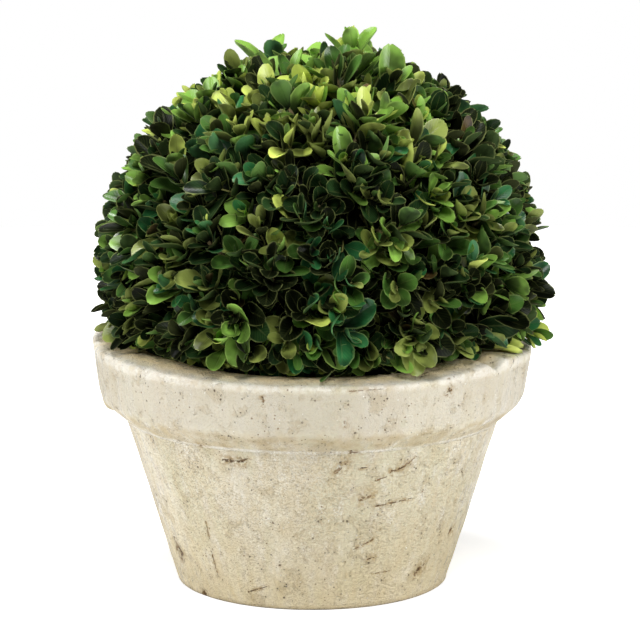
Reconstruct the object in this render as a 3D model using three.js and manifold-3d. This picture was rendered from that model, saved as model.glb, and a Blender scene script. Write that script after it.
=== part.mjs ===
// Box topiary ball: a small clipped box shrub in a squat whitewashed clay pot
// Millimetres, +Z up, origin at the centre of the pot's flat underside
// The camera side of the reference picture is -Y

import * as THREE from 'three';
import { mergeVertices } from 'three/addons/utils/BufferGeometryUtils.js';
import Module from 'manifold-3d';

const wasm = await Module();
wasm.setup();

// Pot: a straight tapered body, a bevel, and a tall collar that thickens to a broad rounded lip
const RIM_RADIUS = 100;
const POT_HEIGHT = 109.5;
const COLLAR_FOOT_RADIUS = 96.7;
const COLLAR_FOOT_HEIGHT = 86;
const NECK_RADIUS = 85.7;
const NECK_HEIGHT = 76.5;
const FOOT_RADIUS = 62;
const WALL = 12;
const FLOOR = 12;
const LIP_WIDTH = 22;
const LIP_ROUNDING = 2;
const COLLAR_EDGE_CHAMFER = 1.5;
const FOOT_CHAMFER = 1.5;
const POT_SIDES = 56;
const CORNER_STEPS = 3;

// Compost: fills the pot to a finger's breadth under the lip, a little higher at the stem
const COMPOST_DEPTH_UNDER_LIP = 17;
const COMPOST_MOUND = 1.5;
const COMPOST_LEVEL_RADIUS = 20;

// Stem: one short leaning trunk with a root flare, hidden inside the ball
const STEM_RADIUS = 6.5;
const STEM_TIP_RADIUS = 5.2;
const STEM_FLARE_RADIUS = 11;
const STEM_FLARE_HEIGHT = 9;
const STEM_HEIGHT = 34;
const STEM_LEAN = new THREE.Vector2(3.4, 0.8);
const STEM_SIDES = 14;
const STEM_RINGS = 8;

// Ball of foliage: the clipped surface, and the solid core that the sprigs stand out of
const BALL_CENTRE = new THREE.Vector3(3.4, 0, 145);
const BALL_RADIUS = 100;
const BALL_REACH = 104.5;
const CORE_RADIUS = 88.5;
const CORE_DETAIL = 3;
const CORE_HEIGHT_OVER_COMPOST = 3;

// Growth: the stem forks into boughs, each bough into twigs, each twig bears pairs of leaves
const BOUGHS = 14;
const BOUGH_REACH = 0.5;
const TWIGS = 66;
const TWIG_JITTER = 0.045;
const TWIG_REACH_SPREAD = 4;
const TWIG_SUNK = 0.5;
const TWIG_FOOT_RADIUS = 2;
const TWIG_TIP_RADIUS = 1.2;
const LOWEST_TWIG_OVER_LIP = 20;
const SKIRT_TWIGS = 18;
const SKIRT_OVER_LIP = 9;
const LEAF_PAIRS = 2;
const FIRST_PAIR_UNDER_TIP = 2.6;
const PAIR_SPACING = 3.4;
const PAIR_STAGGER = 0.6;
const PAIR_TILT = [52, 68];
const TILT_SPREAD = 8;
const TIP_LEAF_TILT = 14;
const TIP_LEAF_SUNK = 1.5;
const TIP_LEAF_BEYOND_TWIG = 9;
const LEAF_FOLDS = [1, 0.7, 0.4];
const LEAF_LENGTH = 24;
const TIP_LEAF_LENGTH = 12.5;
const LEAF_LENGTH_SPREAD = 0.15;
const LEAF_WIDTH = 0.66;
const LEAF_THICKNESS = 1.3;
const LEAF_WIDEST = 0.58;
const SEED = 4221;

// Shoots that the shears missed: where each one's leaf tip ends, and the turn of its leaves
const LONG_SHOOTS = [
  { end: new THREE.Vector3(17, -4, 254), turn: 0.6 },
  { end: new THREE.Vector3(108, -14, 112.5), turn: 0 },
];

// Clearances between neighbouring solids
const GAP = 0.3;
const FOLIAGE_GAP = 0.6;

const GOLDEN_ANGLE = Math.PI * (3 - Math.sqrt(5));
const UP = new THREE.Vector3(0, 0, 1);

// Repeatable random numbers from 0 to 1
function seededRandom(seed) {
  let state = seed;
  return () => {
    state = (1664525 * state + 1013904223) % 4294967296;
    return state / 4294967296;
  };
}

// Turns a profile of [radius, height] points about the Z axis
function turned(profile, sides) {
  const points = profile.map(([radius, height]) => new THREE.Vector2(radius, height));
  return new THREE.LatheGeometry(points, sides).rotateX(Math.PI / 2);
}

// Joins and cuts work on solids with shared vertices
function toSolid(geometry) {
  const bare = geometry.clone();
  bare.deleteAttribute('normal');
  bare.deleteAttribute('uv');
  const merged = mergeVertices(bare, 1e-4);
  return new wasm.Manifold(new wasm.Mesh({
    numProp: 3,
    vertProperties: merged.attributes.position.array,
    triVerts: new Uint32Array(merged.index.array),
  }));
}

function toGeometry(solid) {
  const mesh = solid.getMesh();
  const geometry = new THREE.BufferGeometry();
  geometry.setAttribute('position', new THREE.BufferAttribute(mesh.vertProperties, 3));
  geometry.setIndex(new THREE.BufferAttribute(mesh.triVerts, 1));
  geometry.computeVertexNormals();
  return geometry;
}

// Quarter round from one angle to the next, as profile points
function arc(centreRadius, centreHeight, radius, fromDegrees, toDegrees) {
  return Array.from({ length: CORNER_STEPS + 1 }, (_, step) => {
    const angle = THREE.MathUtils.degToRad(
      fromDegrees + (toDegrees - fromDegrees) * step / CORNER_STEPS);
    return [centreRadius + radius * Math.cos(angle), centreHeight + radius * Math.sin(angle)];
  });
}

// Profile point a short way from one point towards another, for a chamfered corner
function towards(from, to, distance) {
  const share = distance / Math.hypot(to[0] - from[0], to[1] - from[1]);
  return [from[0] + (to[0] - from[0]) * share, from[1] + (to[1] - from[1]) * share];
}

// Inner radius of the pot at a height: one straight taper from the floor to the lip
function boreRadius(height) {
  const outerAtFloor = FOOT_RADIUS + (NECK_RADIUS - FOOT_RADIUS) * FLOOR / NECK_HEIGHT;
  const atFloor = outerAtFloor - WALL;
  const atLip = RIM_RADIUS - LIP_WIDTH;
  return atFloor + (atLip - atFloor) * (height - FLOOR) / (POT_HEIGHT - FLOOR);
}

function makePot() {
  const lipOuter = RIM_RADIUS - LIP_ROUNDING;
  const lipInner = RIM_RADIUS - LIP_WIDTH + LIP_ROUNDING;
  const lipCentre = POT_HEIGHT - LIP_ROUNDING;
  const neck = [NECK_RADIUS, NECK_HEIGHT];
  const collarFoot = [COLLAR_FOOT_RADIUS, COLLAR_FOOT_HEIGHT];
  const profile = [
    [0, 0],
    [FOOT_RADIUS - FOOT_CHAMFER, 0],
    [FOOT_RADIUS, FOOT_CHAMFER],
    neck,
    towards(collarFoot, neck, COLLAR_EDGE_CHAMFER),
    towards(collarFoot, [RIM_RADIUS, lipCentre], COLLAR_EDGE_CHAMFER),
    ...arc(lipOuter, lipCentre, LIP_ROUNDING, 0, 90),
    ...arc(lipInner, lipCentre, LIP_ROUNDING, 90, 180),
    [boreRadius(FLOOR), FLOOR],
    [0, FLOOR],
  ];
  return turned(profile, POT_SIDES);
}

const COMPOST_EDGE_HEIGHT = POT_HEIGHT - COMPOST_DEPTH_UNDER_LIP;
const COMPOST_TOP = COMPOST_EDGE_HEIGHT + COMPOST_MOUND;

function makeCompost() {
  return turned([
    [0, FLOOR + GAP],
    [boreRadius(FLOOR) - GAP, FLOOR + GAP],
    [boreRadius(COMPOST_EDGE_HEIGHT) - GAP, COMPOST_EDGE_HEIGHT],
    [COMPOST_LEVEL_RADIUS, COMPOST_TOP],
    [0, COMPOST_TOP],
  ], POT_SIDES);
}

const STEM_FOOT = COMPOST_TOP + GAP;

// Trunk radius at a height over its flat cut: flare at the foot, then a slow taper
function stemRadius(height) {
  const flare = Math.max(0, 1 - height / STEM_FLARE_HEIGHT);
  const taper = STEM_RADIUS + (STEM_TIP_RADIUS - STEM_RADIUS) * height / STEM_HEIGHT;
  return taper + (STEM_FLARE_RADIUS - STEM_RADIUS) * flare * flare;
}

// Trunk or its socket: the same leaning form, grown sideways and upwards by a clearance
function makeStem(grown = 0) {
  const profile = [[0, 0]];
  for (let ring = 0; ring <= STEM_RINGS; ring += 1) {
    const height = STEM_HEIGHT * ring / STEM_RINGS;
    profile.push([stemRadius(height) + grown, height + grown * ring / STEM_RINGS]);
  }
  profile.push([0, STEM_HEIGHT + grown]);
  const geometry = turned(profile, STEM_SIDES);
  const position = geometry.attributes.position;
  for (let i = 0; i < position.count; i += 1) {
    const share = position.getZ(i) / STEM_HEIGHT;
    const bend = share * share;
    position.setXYZ(i,
      position.getX(i) + STEM_LEAN.x * bend,
      position.getY(i) + STEM_LEAN.y * bend,
      position.getZ(i) + STEM_FOOT);
  }
  return geometry;
}

// What the foliage keeps clear of: the pot and the compost, grown by the foliage gap
function makeKeepOut() {
  const lipCentre = POT_HEIGHT - LIP_ROUNDING;
  const grown = LIP_ROUNDING + FOLIAGE_GAP;
  const floor = COMPOST_TOP + CORE_HEIGHT_OVER_COMPOST;
  return turned([
    [0, 0],
    [RIM_RADIUS + FOLIAGE_GAP, 0],
    ...arc(RIM_RADIUS - LIP_ROUNDING, lipCentre, grown, 0, 90),
    ...arc(RIM_RADIUS - LIP_WIDTH + LIP_ROUNDING, lipCentre, grown, 90, 180),
    [boreRadius(floor) - FOLIAGE_GAP, floor],
    [0, floor],
  ], POT_SIDES);
}

// Point of a golden-angle spiral that covers a unit sphere evenly, from its top to a lowest height
function spiralDirection(index, count, lowest) {
  const height = 1 - (1 - lowest) * (index + 0.5) / count;
  const across = Math.sqrt(1 - height * height);
  const angle = index * GOLDEN_ANGLE;
  return new THREE.Vector3(across * Math.cos(angle), across * Math.sin(angle), height);
}

// Matrix that lays +X along a direction, with +Z turned about it by an angle
function layAlong(origin, direction, spin) {
  const side = Math.abs(direction.z) < 0.99 ? UP : new THREE.Vector3(1, 0, 0);
  const across = new THREE.Vector3().crossVectors(side, direction).normalize();
  across.applyAxisAngle(direction, spin);
  const normal = new THREE.Vector3().crossVectors(direction, across);
  return new THREE.Matrix4().makeBasis(direction, across, normal).setPosition(origin);
}

// Three-sided twig that tapers from its fork to its tip
function makeTwig(fork, tip) {
  const length = fork.distanceTo(tip);
  const direction = tip.clone().sub(fork).normalize();
  const twig = new THREE.CylinderGeometry(TWIG_TIP_RADIUS, TWIG_FOOT_RADIUS, length, 3);
  twig.rotateZ(-Math.PI / 2).translate(length / 2, 0, 0);
  return twig.applyMatrix4(layAlong(fork, direction, 0));
}

// Leaf of eight faces: a flat kite, widest past its middle, whose root is in the twig
function makeLeaf({ root, axis, hinge, tilt, length, reach }, fold) {
  const direction = axis.clone().applyAxisAngle(hinge, THREE.MathUtils.degToRad(tilt * fold));
  const end = root.clone().addScaledVector(direction, length);
  const clipped = length - Math.max(0, end.distanceTo(BALL_CENTRE) - reach);
  const leaf = new THREE.OctahedronGeometry(1);
  const position = leaf.attributes.position;
  for (let i = 0; i < position.count; i += 1) {
    const x = position.getX(i);
    const share = Math.abs(x) > 0.5 ? (x + 1) / 2 : LEAF_WIDEST;
    position.setXYZ(i,
      share * clipped,
      position.getY(i) * length * LEAF_WIDTH / 2,
      position.getZ(i) * LEAF_THICKNESS / 2);
  }
  const normal = new THREE.Vector3().crossVectors(direction, hinge);
  return leaf.applyMatrix4(new THREE.Matrix4().makeBasis(direction, hinge, normal).setPosition(root));
}

// Leaves of one twig: opposite pairs, each turned a right angle from the last, and one at the tip
function leavesOf(tip, axis, { turn, tipTilt, reach }, random) {
  const leafAt = (down, tilt, spin, length, leafReach) => ({
    root: tip.clone().addScaledVector(axis, -down),
    axis,
    hinge: new THREE.Vector3(0, 1, 0).transformDirection(layAlong(tip, axis, spin)),
    tilt,
    length,
    reach: leafReach,
  });
  const leaves = [];
  for (let pair = 0; pair < LEAF_PAIRS; pair += 1) {
    const pairTilt = PAIR_TILT[0] + (PAIR_TILT[1] - PAIR_TILT[0]) * pair / (LEAF_PAIRS - 1);
    for (const half of [0, 1]) {
      const down = FIRST_PAIR_UNDER_TIP + pair * PAIR_SPACING + half * PAIR_STAGGER;
      const tilt = pairTilt + TILT_SPREAD * random();
      const spin = turn + pair * Math.PI / 2 + half * Math.PI;
      const length = LEAF_LENGTH * (1 + LEAF_LENGTH_SPREAD * (2 * random() - 1));
      leaves.push(leafAt(down, tilt, spin, length, BALL_REACH));
    }
  }
  const spin = turn + LEAF_PAIRS * Math.PI / 2;
  leaves.push(leafAt(TIP_LEAF_SUNK, tipTilt, spin, TIP_LEAF_LENGTH, reach));
  return leaves;
}

// Height of a level over the lip, as a share of the ball's radius from its centre
function overLip(distance) {
  return (POT_HEIGHT + distance - BALL_CENTRE.z) / BALL_RADIUS;
}

// Twigs of the ball: the long shoots, a skirt just over the lip, then an even spiral above it
function layOutTwigs(random) {
  const wander = () => (2 * random() - 1) * TWIG_JITTER;
  const clipped = (direction, turn) => {
    const reach = BALL_REACH - TWIG_REACH_SPREAD * random();
    const end = direction.normalize().multiplyScalar(reach).add(BALL_CENTRE);
    return { end, turn, tipTilt: TIP_LEAF_TILT, reach: BALL_REACH };
  };
  const long = LONG_SHOOTS.map(({ end, turn }) => (
    { end, turn, tipTilt: 0, reach: end.distanceTo(BALL_CENTRE) }));
  const skirt = Array.from({ length: SKIRT_TWIGS }, (_, i) => {
    const angle = 2 * Math.PI * i / SKIRT_TWIGS + wander();
    const height = overLip(SKIRT_OVER_LIP);
    const across = Math.sqrt(1 - height * height);
    const direction = new THREE.Vector3(across * Math.cos(angle), across * Math.sin(angle), height);
    return clipped(direction, Math.PI / 2);
  });
  const even = Array.from({ length: TWIGS }, (_, i) => {
    const direction = spiralDirection(i, TWIGS, overLip(LOWEST_TWIG_OVER_LIP));
    direction.add(new THREE.Vector3(wander(), wander(), wander()));
    return clipped(direction, random() * Math.PI);
  });
  return [...long, ...skirt, ...even];
}

function boxesMeet(a, b) {
  return [0, 1, 2].every((axis) => a.min[axis] < b.max[axis] && b.min[axis] < a.max[axis]);
}

// Foliage: boughs spread from the stem's tip to an even ring of ends deep inside the core
// Each twig springs from the nearest bough end; only its outer part shows, and is made
// A leaf that would touch the pot or cross another folds up to its twig, or else is left out
function makeFoliage() {
  const random = seededRandom(SEED);
  const keepOut = toSolid(makeKeepOut());
  const boughEnds = Array.from({ length: BOUGHS }, (_, i) => spiralDirection(i, BOUGHS, -1)
    .multiplyScalar(BALL_RADIUS * BOUGH_REACH).add(BALL_CENTRE));
  const core = toSolid(new THREE.IcosahedronGeometry(CORE_RADIUS, CORE_DETAIL)
    .translate(BALL_CENTRE.x, BALL_CENTRE.y, BALL_CENTRE.z));

  const taken = [{ solid: keepOut, box: keepOut.boundingBox() }];
  const isFree = (solid, own) => {
    const box = solid.boundingBox();
    return taken.every((other) => other === own || !boxesMeet(box, other.box)
      || solid.intersect(other.solid).isEmpty());
  };
  const take = (solid) => {
    const entry = { solid, box: solid.boundingBox() };
    taken.push(entry);
    return entry;
  };
  for (const shoot of layOutTwigs(random)) {
    const fork = boughEnds.reduce((best, end) =>
      (end.distanceTo(shoot.end) < best.distanceTo(shoot.end) ? end : best));
    const axis = shoot.end.clone().sub(fork).normalize();
    const tip = shoot.end.clone().addScaledVector(axis, -TIP_LEAF_BEYOND_TWIG);
    const leaves = leavesOf(tip, axis, shoot, random);
    const twigSolid = toSolid(makeTwig(tip.clone().lerp(fork, TWIG_SUNK), tip));
    if (!isFree(twigSolid)) continue;
    const twig = take(twigSolid);
    for (const leaf of leaves) {
      const fitting = LEAF_FOLDS.map((fold) => toSolid(makeLeaf(leaf, fold)))
        .find((solid) => isFree(solid, twig));
      if (fitting) take(fitting);
    }
  }
  const sprigs = taken.slice(1).map((entry) => entry.solid);
  const socket = toSolid(makeStem(GAP));
  const whole = wasm.Manifold.union([core, ...sprigs]).subtract(keepOut).subtract(socket);
  const pieces = whole.decompose().sort((a, b) => b.volume() - a.volume());
  return toGeometry(pieces[0]);
}

function addPiece(group, name, geometry, colour, roughness) {
  const material = new THREE.MeshStandardMaterial({ color: colour, roughness, metalness: 0 });
  const mesh = new THREE.Mesh(geometry, material);
  mesh.name = name;
  group.add(mesh);
}

const plant = new THREE.Group();
addPiece(plant, 'pot', makePot(), 0xdcd3bc, 0.9);
addPiece(plant, 'compost', makeCompost(), 0x3a2c20, 1.0);
addPiece(plant, 'stem', makeStem(), 0x8a7a5c, 0.85);
addPiece(plant, 'foliage', makeFoliage(), 0x4e6a2c, 0.5);

export default plant;
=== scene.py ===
# Box topiary ball in its pot: the finished plant and pot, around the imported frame
# Metres, +Z up, origin at the centre of the pot's flat underside, camera side -Y

import bmesh
import bpy
import math
import numpy as np
from mathutils import Matrix, Vector, noise


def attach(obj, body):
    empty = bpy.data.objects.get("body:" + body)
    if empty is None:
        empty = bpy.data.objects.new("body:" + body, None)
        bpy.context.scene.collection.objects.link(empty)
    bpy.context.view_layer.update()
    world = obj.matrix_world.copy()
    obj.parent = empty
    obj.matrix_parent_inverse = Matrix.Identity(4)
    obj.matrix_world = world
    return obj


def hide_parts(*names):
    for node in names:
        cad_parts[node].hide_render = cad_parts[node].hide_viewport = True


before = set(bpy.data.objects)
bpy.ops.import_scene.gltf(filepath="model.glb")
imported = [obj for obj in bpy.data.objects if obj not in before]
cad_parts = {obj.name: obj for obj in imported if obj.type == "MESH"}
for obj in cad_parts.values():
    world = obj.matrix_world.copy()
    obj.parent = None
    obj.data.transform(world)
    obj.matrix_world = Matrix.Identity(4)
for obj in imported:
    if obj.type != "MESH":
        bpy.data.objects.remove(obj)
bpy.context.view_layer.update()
MM = 0.001

# Camera: a long lens that looks a little down on the pot, a bit to the right of its axis.
CAMERA_LENS = 167.2
CAMERA_SENSOR = 36
CAMERA_DISTANCE = 1358 * MM
CAMERA_ELEVATION = math.radians(10.37)
CAMERA_AIM = Vector((3.42, 0, 119.6)) * MM


def put_in_scene(name, data):
    """Object of a mesh, a light or the camera, put in the scene."""
    made = bpy.data.objects.new(name, data)
    bpy.context.scene.collection.objects.link(made)
    return made


camera_data = bpy.data.cameras.new("camera")
camera_data.lens = CAMERA_LENS
camera_data.sensor_width = CAMERA_SENSOR
camera = put_in_scene("camera", camera_data)
towards_camera = Vector((0, -math.cos(CAMERA_ELEVATION), math.sin(CAMERA_ELEVATION)))
camera.location = CAMERA_AIM + CAMERA_DISTANCE * towards_camera
camera.rotation_euler = towards_camera.to_track_quat("Z", "Y").to_euler()
bpy.context.scene.camera = camera

# Pot: squat round clay, moulded by hand with a tall collar over a bevel, brushed with lime wash.
# Turned from its section, then made uneven, pitted and chipped; it stands on its flat foot.
RIM_RADIUS = 100 * MM
POT_HEIGHT = 109.5 * MM
COLLAR_FOOT_RADIUS = 96.7 * MM
COLLAR_FOOT_HEIGHT = 86 * MM
NECK_RADIUS = 85.7 * MM
NECK_HEIGHT = 76.5 * MM
FOOT_RADIUS = 62 * MM
WALL = 12 * MM
FLOOR = 12 * MM
LIP_WIDTH = 22 * MM
LIP_CROWN_RADIUS = 87 * MM
LIP_CROWN = 1.6 * MM
LIP_SHOULDER = 1 * MM
LIP_ROUNDING = 1.6 * MM
LIP_CROWN_ROUNDING = 7 * MM
LIP_INNER_ROUNDING = 3 * MM
EDGE_ROUNDING = 3.2 * MM
FOOT_ROUNDING = 0.8 * MM
CORNER_STEPS = 4
POT_STEPS = 480
FINE_ROW = 1.1 * MM
COARSE_ROW = 7 * MM
FOOT_EDGE = 1.5 * MM
COMPOST_DEPTH_UNDER_LIP = 17 * MM
COMPOST_EDGE_HEIGHT = POT_HEIGHT - COMPOST_DEPTH_UNDER_LIP

# Unevenness of the moulded wall: how deep each kind is, and its waves per metre along X, Y and Z
UNEVEN_WALL = [
    (0.55 * MM, (26, 26, 26)),
    (0.18 * MM, (95, 95, 95)),
    (0.11 * MM, (230, 230, 14)),
]

# Rises of the hand-moulded lip: degrees from the camera side towards +X, reach in degrees, and mm
LIP_RISES = [(-112, 34, 5), (-66, 56, 2), (56, 26, 3), (54.8, 4.5, -3.6), (150, 40, 1.5)]

# Marks of the wall: degrees from the camera side towards +X, then height, radius and depth in mm,
# where a depth under 0 is a bulge or a run of thick wash
POT_MARKS = {
    "lip_crack": (36.5, 109.2, 2.4, 0.9),
    "lip_dip_behind": (151, 109.0, 6.5, 1.1),
    "curl": (37.2, 102.7, 1.7, 0.5),
    "dash": (-12.2, 102.2, 1.6, 0.3),
    "foot_chip": (-51, 0.8, 5.0, 1.4),
    "foot_chip_behind": (118, 0.8, 6.0, 1.2),
    "worn_patch": (-62.7, 18, 7.5, 0.7),
    "lip_bulge": (-94, 110, 16, -1.4),
    "wash_run": (-84, 82.5, 6.5, -2.3),
    "wash_run_behind": (166, 84, 6.0, -1.3),
    "rough_spot": (45.7, 13.9, 4.0, 0.6),
    "side_pit": (62.2, 29.1, 2.6, 0.7),
    "neck_pit": (11.1, 77.5, 1.7, 0.7),
    "rust_pit": (-24.7, 71.1, 2.6, 0.6),
    "dark_pit": (-21.6, 72.2, 1.7, 0.7),
    "low_pit": (11.6, 23.5, 1.7, 0.7),
}

# Patches where the wash crumbles: degrees, height and radius in mm
CRUMBLED_PATCHES = [
    (-24.5, 106, 9), (-32, 61.5, 6), (-37, 68.5, 7), (-15, 58.5, 7), (9, 70.5, 8), (-23, 82.5, 10),
    (-57, 73, 7), (-64, 86, 8), (17, 98, 10), (28, 68, 11), (18, 55, 13), (21, 40, 13), (46, 15, 10),
    (20, 25, 11), (53, 63, 9), (38, 86.5, 13), (-62, 20, 10), (-23, 5, 6), (4, 80, 10),
    (110, 60, 13), (150, 92, 11), (-150, 40, 14), (-110, 85, 12), (170, 30, 13), (-175, 75, 10),
    (75, 100, 10), (-95, 50, 11), (125, 20, 10), (-130, 102, 9),
]
SMALL_PITS = 260
SMALL_PIT_RADIUS = (0.8 * MM, 1.7 * MM)
SMALL_PIT_DEPTH = (0.15 * MM, 0.5 * MM)
POT_SEED = 11


def seeded_random(seed):
    """Repeatable random numbers from 0 to 1."""
    state = seed
    while True:
        state = (1664525 * state + 1013904223) % 4294967296
        yield state / 4294967296


def between(draws, low, high):
    """The next random number, from low to high."""
    return low + (high - low) * next(draws)


def bore_radius(height):
    """Inner radius of the pot: one straight taper from the floor to the lip."""
    at_floor = FOOT_RADIUS + (NECK_RADIUS - FOOT_RADIUS) * FLOOR / NECK_HEIGHT - WALL
    at_lip = RIM_RADIUS - LIP_WIDTH
    return at_floor + (at_lip - at_floor) * (height - FLOOR) / (POT_HEIGHT - FLOOR)


def lip_rise(x, y):
    """How far the lip rises over its nominal height, at places round the pot."""
    turn = np.degrees(np.arctan2(x, -y))
    lifted = 0
    for angle, reach, rise in LIP_RISES:
        share = np.clip(1 - np.abs((turn - angle + 180) % 360 - 180) / reach, 0, 1)
        lifted = lifted + rise * MM * share * share * (3 - 2 * share)
    return lifted


def outer_radius(height):
    """Outer radius of the pot: the body, the bevel and the collar."""
    heights = [0, NECK_HEIGHT, COLLAR_FOOT_HEIGHT, POT_HEIGHT]
    radii = [FOOT_RADIUS, NECK_RADIUS, COLLAR_FOOT_RADIUS, RIM_RADIUS]
    return float(np.interp(height, heights, radii))


def sort_faces(built):
    """Puts faces in the order of their points, since extruding lists them differently each run."""
    count = len(built.verts)
    built.verts.index_update()

    def rank(face):
        first, second, third, *_ = sorted(vertex.index for vertex in face.verts)
        return (first * count + second) * count + third

    built.faces.sort(key=rank)


def turn_section(corners, row_height, steps):
    """Turns a section of (radius, height, rounding) corners round the Z axis."""
    turned = bmesh.new()
    vertices = [turned.verts.new((radius, 0, height)) for radius, height, _ in corners]
    for first, second in zip(vertices, vertices[1:]):
        turned.edges.new((first, second))
    for vertex, (_, _, rounding) in zip(vertices, corners):
        if rounding > 0:
            bmesh.ops.bevel(turned, geom=[vertex], offset=rounding, segments=CORNER_STEPS,
                            profile=0.5, affect="VERTICES", material=-1)
    for edge in turned.edges[:]:
        middle = (edge.verts[0].co + edge.verts[1].co) / 2
        cuts = int(edge.calc_length() / row_height(middle.x, middle.z))
        if cuts > 0:
            bmesh.ops.subdivide_edges(turned, edges=[edge], cuts=cuts)
    bmesh.ops.spin(turned, geom=turned.verts[:] + turned.edges[:], cent=(0, 0, 0), axis=(0, 0, 1),
                   angle=2 * math.pi, steps=steps, use_merge=True)
    bmesh.ops.remove_doubles(turned, verts=turned.verts[:], dist=0.001 * MM)
    bmesh.ops.recalc_face_normals(turned, faces=turned.faces[:])
    sort_faces(turned)
    return turned


def to_mesh(name, built):
    """Mesh of a finished bmesh."""
    mesh = bpy.data.meshes.new(name)
    built.to_mesh(mesh)
    built.free()
    return mesh


def add_piece(mesh, node, material):
    """Puts a mesh in the scene as a piece that stands for a node of the frame."""
    mesh.shade_smooth()
    mesh.materials.append(material)
    piece = put_in_scene(mesh.name, mesh)
    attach(piece, "root")
    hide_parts(node)


def points_of(mesh):
    """Places of a mesh's vertices, as rows."""
    values = np.empty(3 * len(mesh.vertices))
    mesh.vertices.foreach_get("co", values)
    return values.reshape(-1, 3)


def normals_of(mesh):
    """Outward directions at a mesh's vertices, as rows."""
    values = np.empty(3 * len(mesh.vertices))
    mesh.vertex_normals.foreach_get("vector", values)
    return values.reshape(-1, 3)


def noise_at(points, waves):
    """Smooth noise from -1 to 1 at each point, with so many waves per metre along X, Y and Z."""
    return np.array([noise.noise(Vector(point)) for point in points * waves])


def push_out(mesh, shifts):
    """Moves each vertex outwards along its normal."""
    points = points_of(mesh) + normals_of(mesh) * shifts[:, None]
    mesh.vertices.foreach_set("co", points.ravel())
    mesh.update()


def place_on_pot(angle, height):
    """Point of the outer wall, by degrees from the camera side towards +X, and height."""
    turn = math.radians(angle)
    radius = outer_radius(height)
    return np.array([radius * math.sin(turn), -radius * math.cos(turn), height])


def round_dent(points, centre, radius):
    """Share of a dent's depth at each point: 1 at its centre, 0 from its radius outwards."""
    share = np.clip(1 - np.linalg.norm(points - centre, axis=1) / radius, 0, 1)
    return share * share * (3 - 2 * share)


def pot_row_height(radius, height):
    """Rows are fine where the pot shows, and coarse under it and behind the compost."""
    in_wall = radius > bore_radius(height) + WALL / 2
    shows = height > 0 and (in_wall or height > COMPOST_EDGE_HEIGHT)
    return FINE_ROW if shows else COARSE_ROW


pot_mesh = to_mesh("pot", turn_section([
    (0, 0, 0),
    (FOOT_RADIUS, 0, FOOT_ROUNDING),
    (NECK_RADIUS, NECK_HEIGHT, EDGE_ROUNDING / 4),
    (COLLAR_FOOT_RADIUS, COLLAR_FOOT_HEIGHT, EDGE_ROUNDING),
    (RIM_RADIUS, POT_HEIGHT - LIP_SHOULDER, LIP_ROUNDING),
    (LIP_CROWN_RADIUS, POT_HEIGHT + LIP_CROWN, LIP_CROWN_ROUNDING),
    (RIM_RADIUS - LIP_WIDTH, POT_HEIGHT - LIP_SHOULDER, LIP_INNER_ROUNDING),
    (bore_radius(COMPOST_EDGE_HEIGHT), COMPOST_EDGE_HEIGHT, 0),
    (bore_radius(FLOOR), FLOOR, 0),
    (0, FLOOR, 0),
], pot_row_height, POT_STEPS))

wall_points = points_of(pot_mesh)
wall_shifts = sum(depth * noise_at(wall_points, waves) for depth, waves in UNEVEN_WALL)
wear = np.zeros(len(wall_points))
for angle, height, radius, depth in POT_MARKS.values():
    share = round_dent(wall_points, place_on_pot(angle, height * MM), radius * MM)
    wall_shifts -= depth * MM * share
    wear = np.maximum(wear, share if depth > 0 else 0)
crumbles = np.zeros(len(wall_points))
for angle, height, radius in CRUMBLED_PATCHES:
    share = round_dent(wall_points, place_on_pot(angle, height * MM), radius * MM)
    crumbles = np.maximum(crumbles, share)
pot_draws = seeded_random(POT_SEED)
for _ in range(SMALL_PITS):
    centre = place_on_pot(between(pot_draws, -180, 180), between(pot_draws, 3 * MM, POT_HEIGHT))
    share = round_dent(wall_points, centre, between(pot_draws, *SMALL_PIT_RADIUS))
    wall_shifts -= between(pot_draws, *SMALL_PIT_DEPTH) * share
wall_shifts *= np.clip(wall_points[:, 2] / FOOT_EDGE, 0, 1)
push_out(pot_mesh, wall_shifts)
moulded = points_of(pot_mesh)
in_collar = (wall_points[:, 2] - COLLAR_FOOT_HEIGHT) / (POT_HEIGHT - COLLAR_FOOT_HEIGHT)
moulded[:, 2] += lip_rise(moulded[:, 0], moulded[:, 1]) * np.clip(in_collar, 0, 1)
pot_mesh.vertices.foreach_set("co", moulded.ravel())
for name, shares in (("wear", wear), ("crumbles", crumbles)):
    pot_mesh.attributes.new(name, "FLOAT", "POINT").data.foreach_set("value", shares)


def paint(red, green, blue):
    """Linear colour of an sRGB one that is given from 0 to 255."""
    shares = [value / 255 for value in (red, green, blue)]
    linear = [s / 12.92 if s <= 0.04045 else ((s + 0.055) / 1.055) ** 2.4 for s in shares]
    return (*linear, 1)


def fill(made, inputs):
    """Sets values or makes links at the inputs of a node."""
    for socket, value in inputs.items():
        if isinstance(value, bpy.types.NodeSocket):
            made.id_data.links.new(value, made.inputs[socket])
        else:
            made.inputs[socket].default_value = value


def put(tree, kind, inputs, output=0, **settings):
    """Puts a node in a tree and gives one of its outputs."""
    made = tree.nodes.new(kind)
    for name, value in settings.items():
        setattr(made, name, value)
    fill(made, inputs)
    return made.outputs[output]


def rise(tree, value, low, high, top=1):
    """Mask that goes smoothly from 0 where the value is low to its top where it is high."""
    inputs = {"Value": value, "From Min": low, "From Max": high, "To Max": top}
    return put(tree, "ShaderNodeMapRange", inputs, interpolation_type="SMOOTHSTEP")


def lay(tree, share, under, over):
    """Lays one colour over another, by a share."""
    return put(tree, "ShaderNodeMix", {0: share, 6: under, 7: over}, output=2, data_type="RGBA")


def calc(tree, operation, first, second=0):
    """Result of one operation on two numbers."""
    return put(tree, "ShaderNodeMath", {0: first, 1: second}, operation=operation)


def times(tree, first, second):
    """Product of two masks or numbers."""
    return calc(tree, "MULTIPLY", first, second)


def vector_calc(tree, operation, first, second=(0, 0, 0), output=0):
    """Result of one operation on two vectors: output 0 is its vector, output 1 its number."""
    return put(tree, "ShaderNodeVectorMath", {0: first, 1: second}, output, operation=operation)


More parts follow.
